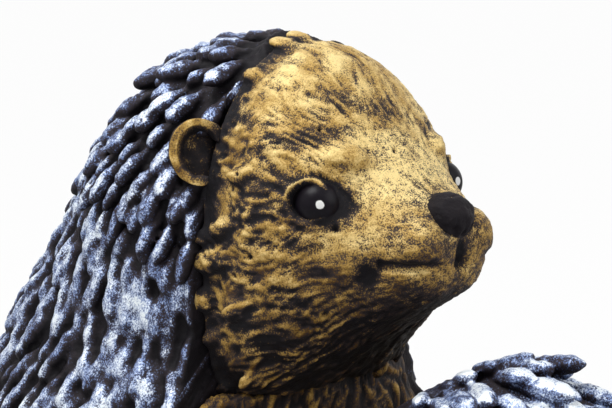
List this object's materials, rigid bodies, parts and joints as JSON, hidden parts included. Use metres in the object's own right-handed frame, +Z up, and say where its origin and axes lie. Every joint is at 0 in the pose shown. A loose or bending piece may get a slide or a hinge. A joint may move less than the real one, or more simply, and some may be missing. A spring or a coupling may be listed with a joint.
{
  "type": "hedgehog figurine",
  "caption": "Cast garden figurine of a sitting hedgehog mother with her young one leaning on her chest, dark base coat dry-brushed silver on the quills and gold on the faces.",
  "frame": {"origin": "on the supporting surface, on the middle line of the mother, at the underside of her floor slab", "axes": "+Z up, the mother looks along -Y and her young one looks back along +Y, +X is the mother's left"},
  "size_m": [0.161, 0.2611, 0.2005],
  "materials": {
    "silver_quills": "matt near-black base coat, dry-brushed silver-blue",
    "gold_fur": "matt near-black base coat, dry-brushed gold",
    "eye_black": "satin black paint with a painted white dot",
    "nose_black": "matt black paint",
    "bare_plaster": "bare cast plaster"
  },
  "bodies": {
    "root": {"mother_crown_shell": "silver_quills", "mother_back_shell": "silver_quills", "mother_face": "gold_fur", "mother_chest": "gold_fur", "mother_right_ear": "gold_fur", "mother_right_arm": "gold_fur", "mother_right_foot": "gold_fur", "mother_right_eye": "eye_black", "mother_left_ear": "gold_fur", "mother_left_arm": "gold_fur", "mother_left_foot": "gold_fur", "mother_left_eye": "eye_black", "mother_nose": "nose_black", "mother_floor": "bare_plaster", "young_crown_shell": "silver_quills", "young_back_shell": "silver_quills", "young_face": "gold_fur", "young_chest": "gold_fur", "young_right_ear": "gold_fur", "young_right_arm": "gold_fur", "young_right_foot": "gold_fur", "young_right_eye": "eye_black", "young_left_ear": "gold_fur", "young_left_arm": "gold_fur", "young_left_foot": "gold_fur", "young_left_eye": "eye_black", "young_nose": "nose_black", "young_floor": "bare_plaster"}
  },
  "joints": []
}
